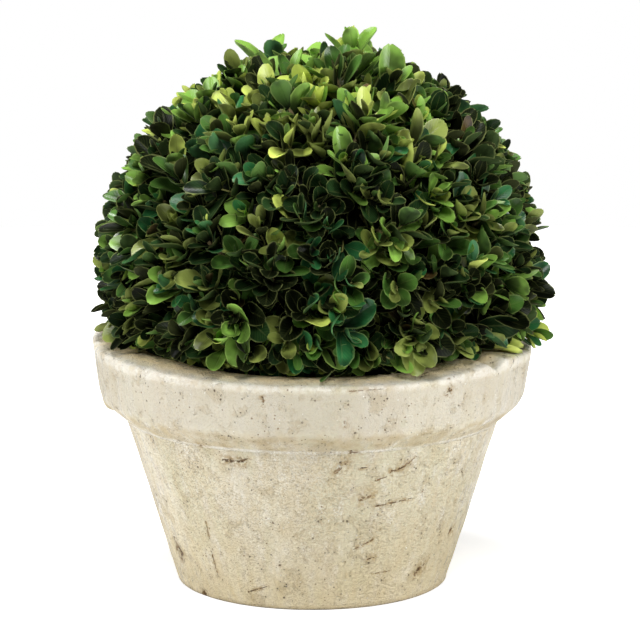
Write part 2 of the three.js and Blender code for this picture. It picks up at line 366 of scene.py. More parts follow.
def axis_of(tree, vector, axis):
    """One of a vector's three numbers."""
    return put(tree, "ShaderNodeSeparateXYZ", {"Vector": vector}, axis)


def object_place(tree):
    """Place on the piece, in metres."""
    return put(tree, "ShaderNodeTexCoord", {}, "Object")


def grain(tree, place, scale, detail=3, roughness=0.5):
    """Noise from 0 to 1 that has so many features per metre."""
    inputs = {"Vector": place, "Scale": scale, "Detail": detail, "Roughness": roughness}
    return put(tree, "ShaderNodeTexNoise", inputs)


def stretched(tree, place, scale):
    """Coordinates scaled apart along X, Y and Z."""
    return put(tree, "ShaderNodeMapping", {"Vector": place, "Scale": scale})


def new_material(name):
    """Material with its node tree and its Principled shader."""
    material = bpy.data.materials.new(name)
    material.use_nodes = True
    return material, material.node_tree, material.node_tree.nodes["Principled BSDF"]


def stamp(tree, group, **inputs):
    """Outputs of a node group that is placed in a tree with its own values."""
    return put(tree, "ShaderNodeGroup", inputs, node_tree=group).node.outputs


def new_group(name, inputs, outputs):
    """Shader node group with named sockets, and its input and output nodes."""
    group = bpy.data.node_groups.new(name, "ShaderNodeTree")
    for socket, kind in inputs.items():
        group.interface.new_socket(socket, in_out="INPUT", socket_type=kind)
    for socket, kind in outputs.items():
        group.interface.new_socket(socket, in_out="OUTPUT", socket_type=kind)
    return group, group.nodes.new("NodeGroupInput").outputs, group.nodes.new("NodeGroupOutput")


def pits_group():
    """Scattered round pits: some cells of a random mosaic hold one, with a soft halo round it."""
    group, given, result = new_group(
        "pits",
        {"Place": "NodeSocketVector", "Scale": "NodeSocketFloat", "Share": "NodeSocketFloat",
         "Size": "NodeSocketFloat"},
        {"Mask": "NodeSocketFloat", "Halo": "NodeSocketFloat"})
    ragged = put(group, "ShaderNodeTexNoise", {"Vector": given["Place"], "Scale": 900}, output=1)
    wander = vector_calc(group, "MULTIPLY", ragged, (0.6 * MM, 0.6 * MM, 0.6 * MM))
    place = vector_calc(group, "ADD", given["Place"], wander)
    cells = put(group, "ShaderNodeTexVoronoi", {"Vector": place, "Scale": given["Scale"]}).node.outputs
    lot = put(group, "ShaderNodeSeparateColor", {"Color": cells["Color"]}).node.outputs
    held = calc(group, "LESS_THAN", lot["Red"], given["Share"])
    radius = times(group, calc(group, "ADD", lot["Green"], 0.35), given["Size"])
    across = calc(group, "DIVIDE", cells["Distance"], radius)
    fill(result, {
        "Mask": times(group, held, rise(group, across, 1.1, 0.6)),
        "Halo": times(group, held, rise(group, across, 2.8, 0.8)),
    })
    return group


def scuff_group():
    """One stroke on the wall, thick at its start and broken up, between two unrolled places."""
    group, given, result = new_group(
        "scuff",
        {"Start": "NodeSocketVector", "End": "NodeSocketVector", "Width": "NodeSocketFloat"},
        {"Mask": "NodeSocketFloat", "Halo": "NodeSocketFloat"})
    place = object_place(group)
    x, y, z = (axis_of(group, place, axis) for axis in range(3))
    around = times(group, calc(group, "ARCTAN2", x, times(group, y, -1)), NECK_RADIUS)
    unrolled = put(group, "ShaderNodeCombineXYZ", {0: around, 1: z})
    from_start = vector_calc(group, "SUBTRACT", unrolled, given["Start"])
    stroke = vector_calc(group, "SUBTRACT", given["End"], given["Start"])
    along = vector_calc(group, "DOT_PRODUCT", from_start, stroke, 1)
    whole = vector_calc(group, "DOT_PRODUCT", stroke, stroke, 1)
    share = put(group, "ShaderNodeClamp", {0: calc(group, "DIVIDE", along, whole)})
    foot = put(group, "ShaderNodeVectorMath", {0: stroke, 3: share}, operation="SCALE")
    apart = vector_calc(group, "DISTANCE", from_start, foot, 1)
    taper = calc(group, "SUBTRACT", 0.9, times(group, share, 0.6))
    ragged = times(group, grain(group, place, 800), 1.9)
    edge = times(group, times(group, given["Width"], taper), ragged)
    stroked = rise(group, calc(group, "DIVIDE", apart, edge), 1, 0.5)
    broken = rise(group, grain(group, place, 800, 2), 0.38, 0.52)
    stained = rise(group, calc(group, "DIVIDE", apart, given["Width"]), 3.6, 0.8)
    fill(result, {
        "Mask": times(group, stroked, broken),
        "Halo": times(group, stained, rise(group, grain(group, place, 500, 3), 0.42, 0.6)),
    })
    return group


# Strokes that bare the clay: degrees and height of each end, half width and strength
POT_SCUFFS = {
    "upright_scratch": (-39.5, 39.9, -39.3, 31.0, 0.45, 0.9),
    "lower_scratch": (-39.9, 24.6, -39.3, 12.5, 0.6, 0.85),
    "foot_scratch": (-25.9, 7.4, -17.4, 11.3, 0.45, 1),
    "bevel_gouge": (24.8, 66.3, 29.0, 68.0, 1.1, 1),
    "bevel_gouge_tail": (29.0, 68.0, 32.0, 71.5, 0.9, 0.6),
    "second_gouge": (19.9, 62.5, 23.5, 63.9, 0.8, 0.8),
    "long_scratch": (21.0, 50.1, 34.0, 51.8, 0.6, 0.9),
    "short_scratch": (14.6, 69.2, 16.4, 69.3, 0.6, 1),
    "smudge": (15.5, 53.9, 19.8, 55.7, 1.5, 0.7),
    "slanting_scratch": (21.4, 33.7, 14.6, 29.5, 0.6, 0.85),
    "nick": (20.6, 24.2, 23.1, 24.9, 0.7, 0.8),
    "low_scratch": (23.0, 16.7, 30.0, 17.0, 0.45, 0.7),
    "brown_smudge": (7.2, 67.8, 10.0, 71.8, 1.3, 0.7),
    "dash": (-12.3, 103.9, -12.1, 100.6, 0.6, 1),
    "smear": (8.3, 93.1, 8.3, 90.4, 0.8, 0.5),
    "lip_line": (9.2, 106.8, 19.0, 107.1, 0.5, 0.5),
    "curl": (36.8, 103.8, 37.2, 101.6, 0.9, 0.9),
    "curl_end": (37.2, 101.6, 35.6, 101.2, 0.6, 0.8),
    "rust_spot": (-27.2, 71.2, -21.0, 71.4, 1.2, 1),
    "rust_tail": (-21.5, 71.6, -19.4, 73.0, 0.8, 0.9),
    "rough_spot": (44.4, 12.6, 48.4, 16.5, 1.9, 0.75),
    "side_pit": (61.0, 28.6, 63.2, 29.6, 1.4, 0.85),
    "edge_stain": (-63.5, 25.0, -62.5, 13.0, 1.6, 0.6),
    "bevel_nicks": (11.0, 76.8, 14.0, 77.0, 0.7, 0.8),
    "bevel_crumb": (-34.5, 77.2, -33.4, 77.4, 0.8, 0.9),
    "scratch_behind": (140, 48, 152, 44, 0.6, 0.8),
    "gouge_behind": (168, 66, 173, 67.5, 1.1, 0.9),
    "smudge_behind": (-140, 30, -135, 33, 1.6, 0.7),
    "scratch_at_side": (-118, 58, -112, 51, 0.5, 0.9),
    "nick_at_side": (96, 40, 99, 42, 0.8, 0.8),
}
LIME_CREAM = paint(240, 233, 212)
LIME_PALE = paint(252, 249, 240)
LIME_GREYISH = paint(222, 214, 197)
LIME_TAN = paint(223, 209, 176)
LIME_COLLAR_SHADE = paint(210, 203, 186)
LIME_BLUSH = paint(220, 204, 182)
LIME_GREENISH = paint(212, 218, 170)
LIME_OLIVE = paint(213, 208, 177)
CLAY_TAN = paint(196, 174, 132)
CLAY_OCHRE = paint(178, 150, 104)
CLAY_BROWN = paint(128, 98, 58)
CLAY_DARK = paint(70, 50, 28)
LIP_STAIN_AND_LIGHT = paint(248, 226, 178)
FOOT_STAIN = paint(232, 215, 172)
FOOT_CONTACT_SHADOW = paint(128, 122, 112)
GRIME_AND_SHADE = paint(196, 176, 134)
BEAD_HEIGHT = NECK_HEIGHT + 0.6 * MM
GREENISH_SPOT = place_on_pot(23.8, 90.8 * MM)

pits = pits_group()
scuff = scuff_group()
lime_wash, tree, shader = new_material("lime_wash")
place = object_place(tree)
heights = axis_of(tree, place, 2)
radii = vector_calc(tree, "LENGTH", stretched(tree, place, (1, 1, 0)), output=1)
broad_strokes = stretched(tree, place, (1, 1, 0.12))
sand = grain(tree, place, 1900, 2)
mottle = grain(tree, place, 900, 3, 0.6)
blotches = grain(tree, place, 85, 5, 0.65)
cloud = grain(tree, place, 21, 5, 0.6)
brushed = grain(tree, stretched(tree, place, (1, 1, 0.07)), 240, 5, 0.6)
streaks = grain(tree, broad_strokes, 60, 3)
patchy = grain(tree, place, 120, 4)

# Brushed wash: clouds and upright streaks of cream, grey, tan and blush, warmer towards the foot.
# Each coat is laid over the ones before it, by its share.
low_body = calc(tree, "ADD", rise(tree, heights, 45 * MM, 10 * MM, 0.5), 0.5)
from_spot = vector_calc(tree, "DISTANCE", place, tuple(GREENISH_SPOT), 1)
coats = [
    (rise(tree, cloud, 0.40, 0.62, 0.8), LIME_GREYISH),
    (rise(tree, blotches, 0.46, 0.66, 0.6), LIME_TAN),
    (rise(tree, grain(tree, place, 15, 3), 0.48, 0.60, 0.6), LIME_OLIVE),
    (rise(tree, streaks, 0.55, 0.66, 0.5), LIME_BLUSH),
    (rise(tree, streaks, 0.46, 0.34, 0.5), LIME_OLIVE),
    (times(tree, rise(tree, brushed, 0.50, 0.68), low_body), LIME_PALE),
    (times(tree, rise(tree, brushed, 0.47, 0.32), low_body), LIME_TAN),
    (rise(tree, heights, 55 * MM, 0, 0.6), FOOT_STAIN),
    (rise(tree, from_spot, 3 * MM, 0.5 * MM, 0.5), LIME_GREENISH),
]

# Grime with painted shade under the collar, a darker band at the foot edged by a painted contact
# shadow, painted shade that darkens the collar, a warm lip stain lightened by painted light, and
# painted highlights along the lip's edge and on the neck bead
# Grime under the collar, with painted shade on the bevel that faces down
grime_and_shade_under_collar = times(tree, rise(tree, heights, 76 * MM, 78.5 * MM),
                     rise(tree, heights, 87.5 * MM, 84 * MM))
# Painted shade over the collar: its wash is laid darker and greyer
shaded_collar = times(tree, rise(tree, heights, 84 * MM, 90 * MM, 0.7),
                  rise(tree, heights, 108 * MM, 104 * MM))
# Warm stain on the lip, with painted light: a light cream that lifts the shade the ball casts there
on_lip = times(tree, rise(tree, radii, 98 * MM, 91 * MM), rise(tree, heights, 98 * MM, 107 * MM))
# Painted highlight along the lip's outer edge
lip_edge_highlight = times(tree, rise(tree, radii, 96.4 * MM, 98.4 * MM),
                 rise(tree, heights, 105 * MM, 107.6 * MM))
# A low bead of relief round the neck, painted pale as a highlight
from_bead = calc(tree, "ABSOLUTE", calc(tree, "SUBTRACT", heights, BEAD_HEIGHT))
bead_and_highlight = times(tree, rise(tree, from_bead, 1.2 * MM, 0.3 * MM), rise(tree, cloud, 0.30, 0.44))
coats += [
    (times(tree, grime_and_shade_under_collar, rise(tree, patchy, 0.3, 0.65, 0.7)), GRIME_AND_SHADE),
    (shaded_collar, LIME_COLLAR_SHADE),
    # Darker towards the foot, over its last 3 mm
    (rise(tree, heights, 3 * MM, 0.8 * MM, 0.6), GRIME_AND_SHADE),
    # Painted contact shadow: a thin dark line along the foot's bottom edge
    (rise(tree, heights, 1.1 * MM, 0.3 * MM, 0.8), FOOT_CONTACT_SHADOW),
    (times(tree, on_lip, rise(tree, patchy, 0.2, 0.5, 0.9)), LIP_STAIN_AND_LIGHT),
    (times(tree, lip_edge_highlight, rise(tree, patchy, 0.35, 0.55, 0.6)), LIME_PALE),
    (times(tree, bead_and_highlight, 0.8), LIME_PALE),
]

# Sandy grain and fine cracks, coarser on the body, pits with brown halos, specks where the wash
# crumbles, and scuffs down to the clay
coarse = calc(tree, "ADD", rise(tree, heights, 86 * MM, 74 * MM, 0.65), 0.35)
patches = rise(tree, grain(tree, broad_strokes, 45, 4, 0.6), 0.38, 0.62, 0.6)
coarse = times(tree, coarse, calc(tree, "ADD", patches, 0.4))
crack_noise = grain(tree, stretched(tree, place, (1, 1, 2)), 420, 3)
from_crack = calc(tree, "ABSOLUTE", calc(tree, "SUBTRACT", crack_noise, 0.5))
cracked = times(tree, rise(tree, from_crack, 0.015, 0.004), coarse)
loosened = put(tree, "ShaderNodeAttribute", {}, "Fac", attribute_name="crumbles")
loose = calc(tree, "ADD", grain(tree, place, 130, 4, 0.65), times(tree, loosened, 0.17))
crumbled = rise(tree, loose, 0.54, 0.68)
coarse_pits = stamp(tree, pits, Place=place, Scale=135, Share=0.12, Size=0.06)
fine_pits = stamp(tree, pits, Place=place, Scale=330, Share=0.30, Size=0.12)["Mask"]
specks = stamp(tree, pits, Place=place, Scale=720, Share=0.42, Size=0.33)["Mask"]
lime_specks = stamp(tree, pits, Place=place, Scale=810, Share=0.06, Size=0.26)["Mask"]
dust = stamp(tree, pits, Place=place, Scale=700, Share=0.24, Size=0.28)["Mask"]
dusty = rise(tree, grain(tree, place, 70, 3), 0.44, 0.60)
pitted = calc(tree, "MAXIMUM", coarse_pits["Mask"], times(tree, fine_pits, 0.75))
pitted = calc(tree, "MAXIMUM", pitted, times(tree, specks, crumbled))
haloed = calc(tree, "MAXIMUM", coarse_pits["Halo"], times(tree, crumbled, 0.6))
worn = put(tree, "ShaderNodeAttribute", {}, "Fac", attribute_name="wear")
bared = times(tree, rise(tree, worn, 0.1, 0.9), rise(tree, grain(tree, place, 420, 4), 0.42, 0.56))
scuffed = stained = bared
for start_angle, start_height, end_angle, end_height, width, strength in POT_SCUFFS.values():
    stroke = stamp(tree, scuff, Width=width * MM,
                   Start=(math.radians(start_angle) * NECK_RADIUS, start_height * MM, 0),
                   End=(math.radians(end_angle) * NECK_RADIUS, end_height * MM, 0))
    scuffed = calc(tree, "MAXIMUM", scuffed, times(tree, stroke["Mask"], strength))
    stained = calc(tree, "MAXIMUM", stained, times(tree, stroke["Halo"], strength))
coats += [
    (times(tree, rise(tree, mottle, 0.42, 0.60, 0.7), coarse), LIME_TAN),
    (times(tree, rise(tree, sand, 0.52, 0.38, 0.5), coarse), GRIME_AND_SHADE),
    (times(tree, cracked, 0.42), CLAY_TAN),
    (times(tree, lime_specks, 0.9), LIME_PALE),
    (times(tree, dust, times(tree, dusty, 0.8)), CLAY_BROWN),
    (times(tree, haloed, 0.55), CLAY_TAN),
    (times(tree, stained, 0.75), CLAY_OCHRE),
    (times(tree, pitted, 0.85), CLAY_DARK),
    (rise(tree, scuffed, 0.1, 0.7, 0.8), CLAY_BROWN),
    (rise(tree, scuffed, 0.75, 1, 0.7), CLAY_DARK),
]
colour = LIME_CREAM
for share, coat in coats:
    colour = lay(tree, share, colour, coat)

# Relief of the wash, in mm
crust = times(tree, crumbled, grain(tree, place, 650, 3, 0.6))
relief = 0
for mask, height in ((mottle, 0.6), (brushed, 0.16), (sand, 0.26), (lime_specks, 0.3), (bead_and_highlight, 0.5),
                     (cracked, -0.25), (crust, 0.9), (pitted, -0.6), (scuffed, -0.6)):
    relief = calc(tree, "ADD", relief, times(tree, mask, height))
bump = put(tree, "ShaderNodeBump", {"Height": relief, "Distance": MM})
fill(shader, {
    "Base Color": colour,
    "Roughness": rise(tree, brushed, 0.75, 0.25, 0.92),
    "Specular IOR Level": 0.3,
    "Normal": bump,
})
add_piece(pot_mesh, "pot", lime_wash)

# Compost: bark compost that fills the pot to a finger's breadth under the lip, a little higher
# at the stem. A turned filling with a crumbly top, and loose crumbs lying on it.
COMPOST_GAP = 0.3 * MM
COMPOST_MOUND = 1.5 * MM
COMPOST_LEVEL_RADIUS = 20 * MM
COMPOST_TOP = COMPOST_EDGE_HEIGHT + COMPOST_MOUND
COMPOST_STEPS = 160
COMPOST_TOP_ROW = 1.4 * MM
COMPOST_SIDE_ROW = 9 * MM
CRUMB_RELIEF = 1.2 * MM
CRUMBS = 420
CRUMB_SIZE = (1.2 * MM, 3.2 * MM)
CRUMB_TO_WALL = 3 * MM
COMPOST_SEED = 23


def compost_row_height(_, height):
    """Rows are fine on the compost's top, and coarse at its hidden side."""
    return COMPOST_TOP_ROW if height > COMPOST_EDGE_HEIGHT else COMPOST_SIDE_ROW


compost_mesh = to_mesh("compost", turn_section([
    (0, FLOOR + COMPOST_GAP, 0),
    (bore_radius(FLOOR) - COMPOST_GAP, FLOOR + COMPOST_GAP, 0),
    (bore_radius(COMPOST_EDGE_HEIGHT) - COMPOST_GAP, COMPOST_EDGE_HEIGHT, 0),
    (COMPOST_LEVEL_RADIUS, COMPOST_TOP, 0),
    (0, COMPOST_TOP, 0),
], compost_row_height, COMPOST_STEPS))
top_points = points_of(compost_mesh)
crumbly = noise_at(top_points, (330, 330, 330)) + 0.6 * noise_at(top_points, (900, 900, 900))
on_top = (top_points[:, 2] > COMPOST_EDGE_HEIGHT + 0.1 * MM).astype(float)
push_out(compost_mesh, CRUMB_RELIEF * crumbly * on_top)

compost_draws = seeded_random(COMPOST_SEED)
crumbs = bmesh.new()
for _ in range(CRUMBS):
    turn = between(compost_draws, 0, 2 * math.pi)
    radius = (bore_radius(COMPOST_EDGE_HEIGHT) - CRUMB_TO_WALL) * math.sqrt(next(compost_draws))
    size = between(compost_draws, *CRUMB_SIZE)
    lie = Matrix.LocRotScale(
        Vector((radius * math.cos(turn), radius * math.sin(turn), COMPOST_TOP)),
        Matrix.Rotation(between(compost_draws, 0, 2 * math.pi), 3, "Z"),
        Vector((size, size * between(compost_draws, 0.4, 0.8),
                size * between(compost_draws, 0.25, 0.5))))
    bmesh.ops.create_icosphere(crumbs, subdivisions=1, radius=0.5, matrix=lie)

compost_bark, tree, shader = new_material("bark_compost")
place = object_place(tree)
flecks = grain(tree, place, 500, 4, 0.7)
colour = lay(tree, rise(tree, flecks, 0.35, 0.65), paint(30, 22, 16), paint(72, 54, 38))
colour = lay(tree, rise(tree, grain(tree, place, 160, 3), 0.6, 0.75, 0.5), colour, paint(112, 88, 62))
bump = put(tree, "ShaderNodeBump", {"Height": flecks, "Distance": MM})
fill(shader, {"Base Color": colour, "Roughness": rise(tree, flecks, 0.9, 0.1, 0.95), "Normal": bump})
add_piece(compost_mesh, "compost", compost_bark)
add_piece(to_mesh("compost_crumbs", crumbs), "compost", compost_bark)

# Stem: one short leaning trunk of pale furrowed bark, with a root flare, cut flat at the compost.
# Drawn up ring by ring from its foot; the furrows run up it and spread into the flare.
STEM_FOOT = COMPOST_TOP + COMPOST_GAP
STEM_HEIGHT = 34 * MM
STEM_RADIUS = 6.5 * MM
STEM_TIP_RADIUS = 5.2 * MM
STEM_FLARE_RADIUS = 11 * MM
STEM_FLARE_HEIGHT = 9 * MM
STEM_LEAN = Vector((3.4 * MM, 0.8 * MM, 0))
STEM_SIDES = 72
STEM_RINGS = 48
FLARE_LOBES = 5
FLARE_LOBE_DEPTH = 0.12
BARK_FURROW = 0.5 * MM


def stem_radius(height):
    """Trunk radius over its flat cut: the flare at the foot, then a slow taper."""
    flare = max(0, 1 - height / STEM_FLARE_HEIGHT)
    taper = STEM_RADIUS + (STEM_TIP_RADIUS - STEM_RADIUS) * height / STEM_HEIGHT
    return taper + (STEM_FLARE_RADIUS - STEM_RADIUS) * flare * flare


# First a plain column of radius 1 with its heights in mm, then each point goes to its place
stem_bmesh = bmesh.new()
top_ring = bmesh.ops.create_circle(stem_bmesh, segments=STEM_SIDES, radius=1, cap_ends=True)["verts"]
for level in range(STEM_RINGS + 1):
    height = STEM_HEIGHT * level / STEM_RINGS
    if level > 0:
        rim = [edge for edge in stem_bmesh.edges if all(v in top_ring for v in edge.verts)]
        raised = bmesh.ops.extrude_edge_only(stem_bmesh, edges=rim)["geom"]
        top_ring = [part for part in raised if isinstance(part, bmesh.types.BMVert)]
    for vertex in top_ring:
        turn = math.atan2(vertex.co.y, vertex.co.x)
        vertex.co = Vector((math.cos(turn), math.sin(turn), height / MM))
bmesh.ops.holes_fill(stem_bmesh, edges=stem_bmesh.edges[:])
bmesh.ops.recalc_face_normals(stem_bmesh, faces=stem_bmesh.faces[:])
sort_faces(stem_bmesh)
for vertex in stem_bmesh.verts:
    turn = math.atan2(vertex.co.y, vertex.co.x)
    height = vertex.co.z * MM
    across = Vector((math.cos(turn), math.sin(turn), 0))
    flare = max(0, 1 - height / STEM_FLARE_HEIGHT)
    lobes = 1 + FLARE_LOBE_DEPTH * flare * math.cos(FLARE_LOBES * turn)
    furrows = noise.noise(Vector((across.x * 3.2, across.y * 3.2, height * 70)))
    fine_furrows = noise.noise(Vector((across.x * 8, across.y * 8, height * 160)))
    radius = stem_radius(height) * lobes + BARK_FURROW * (furrows + 0.5 * fine_furrows)
    lean = STEM_LEAN * (height / STEM_HEIGHT) ** 2
    vertex.co = across * radius + lean + Vector((0, 0, STEM_FOOT + height))


def bark_group():
    """Box bark: pale grey-brown with darker furrows, as a colour and the height of its relief."""
    group, given, result = new_group(
        "bark",
        {"Pale": "NodeSocketColor", "Dark": "NodeSocketColor", "Scale": "NodeSocketFloat"},
        {"Color": "NodeSocketColor", "Height": "NodeSocketFloat"})
    place = object_place(group)
    furrows = grain(group, stretched(group, place, (1, 1, 0.25)), given["Scale"], 4, 0.65)
    patches = grain(group, place, 90, 3)
    colour = lay(group, rise(group, furrows, 0.6, 0.36), given["Pale"], given["Dark"])
    colour = lay(group, rise(group, patches, 0.55, 0.75, 0.5), colour, paint(122, 126, 88))
    fill(result, {"Color": colour, "Height": furrows})
    return group


bark = bark_group()


def bark_material(name, pale, dark, scale):
    """Bark of one age: its two colours and how many furrows it has per metre."""
    material, tree, shader = new_material(name)
    used = stamp(tree, bark, Pale=pale, Dark=dark, Scale=scale)
    bump = put(tree, "ShaderNodeBump", {"Height": used["Height"], "Distance": 0.4 * MM})
    fill(shader, {"Base Color": used["Color"], "Roughness": 0.85, "Normal": bump})
    return material


old_bark = bark_material("old_bark", paint(166, 148, 116), paint(84, 68, 48), 420)
add_piece(to_mesh("stem", stem_bmesh), "stem", old_bark)

# Boughs and twigs: the trunk forks into boughs that spread evenly inside the ball, each bough
# into twigs, and each twig into finer shoots. They grow by the same rule as the frame's solids.
BALL_CENTRE = Vector((3.4, 0, 145)) * MM
BALL_RADIUS = 100 * MM
BALL_REACH = 104.5 * MM
BOUGHS = 14
BOUGH_REACH = 0.5
BOUGH_FOOT_RADIUS = 3.4 * MM
BOUGH_TIP_RADIUS = 2.0 * MM
BOUGH_SINK = 4 * MM
BOUGH_STEPS = 24
BOUGH_KNOBS = 0.3 * MM
TWIGS = 66
TWIG_JITTER = 0.045
TWIG_REACH_SPREAD = 4 * MM
TWIG_FOOT_RADIUS = 1.7 * MM
TWIG_TIP_RADIUS = 0.75 * MM
LOWEST_TWIG_OVER_LIP = 20 * MM
SKIRT_TWIGS = 18
SKIRT_OVER_LIP = 9 * MM
TIP_LEAF_BEYOND_TWIG = 9 * MM
PLANT_SEED = 4221
GOLDEN_ANGLE = math.pi * (3 - math.sqrt(5))
LONG_SHOOT_ENDS = [Vector((17, -4, 254)) * MM, Vector((108, -14, 112.5)) * MM]

# Finer shoots: an even spiral of their own, and four rows at the lip, each with how many, how high
# over the lip, and how far they turn up
FINE_SHOOTS = 450
FINE_JITTER = 0.07
SKIRT_JITTER = 0.03
LOWEST_SHOOT_OVER_LIP = 16 * MM
FINE_SKIRTS = [(50, -2 * MM, -0.4), (50, 2 * MM, -0.3), (52, 6 * MM, -0.1), (52, 11 * MM, 0)]
FINE_REACH = (89 * MM, 97 * MM)
TUCK_UNDER = 12 * MM
TUCK_HEIGHT = 15 * MM
CROWN_TUCK = 5 * MM
SKIRT_SHORTER = 8 * MM
FINE_FORK_BACK = (14 * MM, 1.2)
FINE_FOOT_RADIUS = 0.8 * MM
FINE_TIP_RADIUS = 0.35 * MM
TURN_UP = 0.45
SHOOT_LEAN = 0.5
LIMB_STEPS = 7
TWIG_STEPS = 14
BEND_PULL = 0.4

# Leaves that lie over the lip: degrees from the camera side towards +X, radius and height over the
# lip in mm, at the root and at the tip, and the leaf's tint
LIP_LEAVES = [
    ((-54.3, 72.4, 9.5), (-67.4, 85.8, 3.6), "olive"),
    ((-54.2, 68.0, 10.5), (-50.8, 84.6, 2.6), "mid"),
    ((-66.2, 75.2, 12), (-73.9, 89.5, 4), "olive"),
    ((-41.4, 70.0, 8), (-38.7, 84.1, 2.4), "lime"),
    ((-82.9, 86.0, 9), (-88.5, 98.7, 4), "olive"),
    ((60.4, 82.0, 8.5), (73.3, 98.7, 3.5), "lime"),
    ((58.0, 86.0, 5.5), (69.5, 100.0, 1.6), "lime"),
    ((9.5, 78.4, 7), (2.0, 86.0, 3), "lime"),
    ((5.2, 90.2, 4), (2.4, 100.5, 1.6), "mid"),
    ((22.3, 88.0, 8), (25.6, 99.0, 3.5), "fresh"),
]

# Leaves that hang down to the lip's inner edge all the way round: spans of radius and of height
# over the lip, in mm, and the most that a tip lies to one side of its root, in degrees
HANGING_LEAVES = 170
HANGING_ROOT = ((70, 79), (5, 12))
HANGING_TIP = ((82, 90), (2.4, 4.5))
HANGING_WANDER = 9


def turned_direction(angle, height):
    """Point of a unit sphere, by its angle round the Z axis and its height."""
    across = math.sqrt(1 - height * height)
    return Vector((across * math.cos(angle), across * math.sin(angle), height))


def spiral_direction(index, count, lowest):
    """Point of a golden-angle spiral that covers a unit sphere evenly, down to a lowest height."""
    return turned_direction(index * GOLDEN_ANGLE, 1 - (1 - lowest) * (index + 0.5) / count)


def over_lip(distance):
    """Height of a level over the lip, as a share of the ball's radius from its centre."""
    return (POT_HEIGHT + distance - BALL_CENTRE.z) / BALL_RADIUS


def ring_direction(index, count, height, turn=0):
    """Direction of one of a ring of shoots at a height, as a share of the ball's radius."""
    return turned_direction(2 * math.pi * index / count + turn, height)


def bend(start, start_way, end, end_way, steps):
    """Points of a smooth curve from a start to an end, with the direction at both."""
    reach = (end - start).length * BEND_PULL
    first = start + start_way * reach
    last = end - end_way * reach
    curve = []
    for step in range(steps + 1):
        t = step / steps
        s = 1 - t
        curve.append(start * s ** 3 + first * 3 * s * s * t + last * 3 * s * t * t + end * t ** 3)
    return curve


def tapered(curve, foot_radius, tip_radius):
    """Points of a curve, each with its radius."""
    last = len(curve) - 1
    return [(point, foot_radius + (tip_radius - foot_radius) * i / last)
            for i, point in enumerate(curve)]


def limbs_mesh(name, limbs, roundness):
    """Mesh of tapering limbs with closed ends, each a list of points with their radii."""
    curves = bpy.data.curves.new(name, "CURVE")
    curves.dimensions = "3D"
    curves.bevel_depth = 1
    curves.bevel_resolution = roundness
    curves.use_fill_caps = True
    for limb in limbs:
        spline = curves.splines.new("POLY")
        spline.points.add(len(limb) - 1)
        for target, (point, radius) in zip(spline.points, limb):
            target.co = (*point, 1)
            target.radius = radius
    holder = bpy.data.objects.new(name, curves)
    built = bmesh.new()
    built.from_mesh(bpy.data.meshes.new_from_object(holder))
    bmesh.ops.remove_doubles(built, verts=built.verts[:], dist=0.0001 * MM)
    bpy.data.objects.remove(holder)
    bpy.data.curves.remove(curves)
    return to_mesh(name, built)


plant_draws = seeded_random(PLANT_SEED)


def wander(spread):
    """Small random step to either side."""
    return spread * (2 * next(plant_draws) - 1)


def main_twig_ends():
    """Ends of the frame's own twigs: the long shoots, the skirt, then the even spiral."""
    ends = list(LONG_SHOOT_ENDS)
    for i in range(SKIRT_TWIGS):
        direction = ring_direction(i, SKIRT_TWIGS, over_lip(SKIRT_OVER_LIP), wander(TWIG_JITTER))
        reach = BALL_REACH - SKIRT_SHORTER - TWIG_REACH_SPREAD * next(plant_draws)
        ends.append(BALL_CENTRE + direction * reach)
    for i in range(TWIGS):
        direction = spiral_direction(i, TWIGS, over_lip(LOWEST_TWIG_OVER_LIP))
        direction += Vector([wander(TWIG_JITTER) for _ in range(3)])
        next(plant_draws)  # The frame's rule draws the turn of the twig's leaves here
        reach = BALL_REACH - TWIG_REACH_SPREAD * next(plant_draws)
        ends.append(BALL_CENTRE + direction.normalized() * reach)
    return ends


stem_tip = STEM_LEAN + Vector((0, 0, STEM_FOOT + STEM_HEIGHT))
stem_way = Vector((2 * STEM_LEAN.x, 2 * STEM_LEAN.y, STEM_HEIGHT)).normalized()
bough_ends = [BALL_CENTRE + spiral_direction(i, BOUGHS, -1) * BALL_RADIUS * BOUGH_REACH
              for i in range(BOUGHS)]
boughs = []
for end in bough_ends:
    outwards = (end - BALL_CENTRE).normalized()
    path = bend(stem_tip - stem_way * BOUGH_SINK, (stem_way + outwards).normalized(),
                end, outwards, BOUGH_STEPS)
    boughs.append(tapered(path, BOUGH_FOOT_RADIUS, BOUGH_TIP_RADIUS))

twigs = []
for end in main_twig_ends():
    fork = min(bough_ends, key=lambda bough_end: (bough_end - end).length)
    axis = (end - fork).normalized()
    tip = end - axis * TIP_LEAF_BEYOND_TWIG
    start_way = (fork - BALL_CENTRE).normalized()
    twigs.append(bend(fork, start_way, tip, axis, TWIG_STEPS))


def nearest_twig(place):
    """The twig whose tip lies nearest to a place."""
    return min(twigs, key=lambda twig: (twig[-1] - place).length)


def fine_shoot(direction, spread, turn_up):
    """Shoot that forks from the nearest twig and turns up towards the light, or down to the lip."""
    aim = (direction + Vector([wander(spread) for _ in range(3)])).normalized()
    tuck = TUCK_UNDER * max(0, 1 - (aim.z - over_lip(0)) * BALL_RADIUS / TUCK_HEIGHT)
    tuck += CROWN_TUCK * max(0, aim.z) ** 3
    end = BALL_CENTRE + aim * (between(plant_draws, *FINE_REACH) - tuck)
    parent = nearest_twig(end)
    least, slope = FINE_FORK_BACK
    back = least + slope * (parent[-1] - end).length
    step = max(1, int((1 - back / (parent[-1] - parent[0]).length) * (len(parent) - 1)))
    way = (parent[step + 1] - parent[step]).normalized()
    lean = Vector([wander(SHOOT_LEAN) for _ in range(3)])
    axis = (aim + turn_up * Vector((0, 0, 1)) + lean).normalized()
    return bend(parent[step], way, end, axis, LIMB_STEPS)


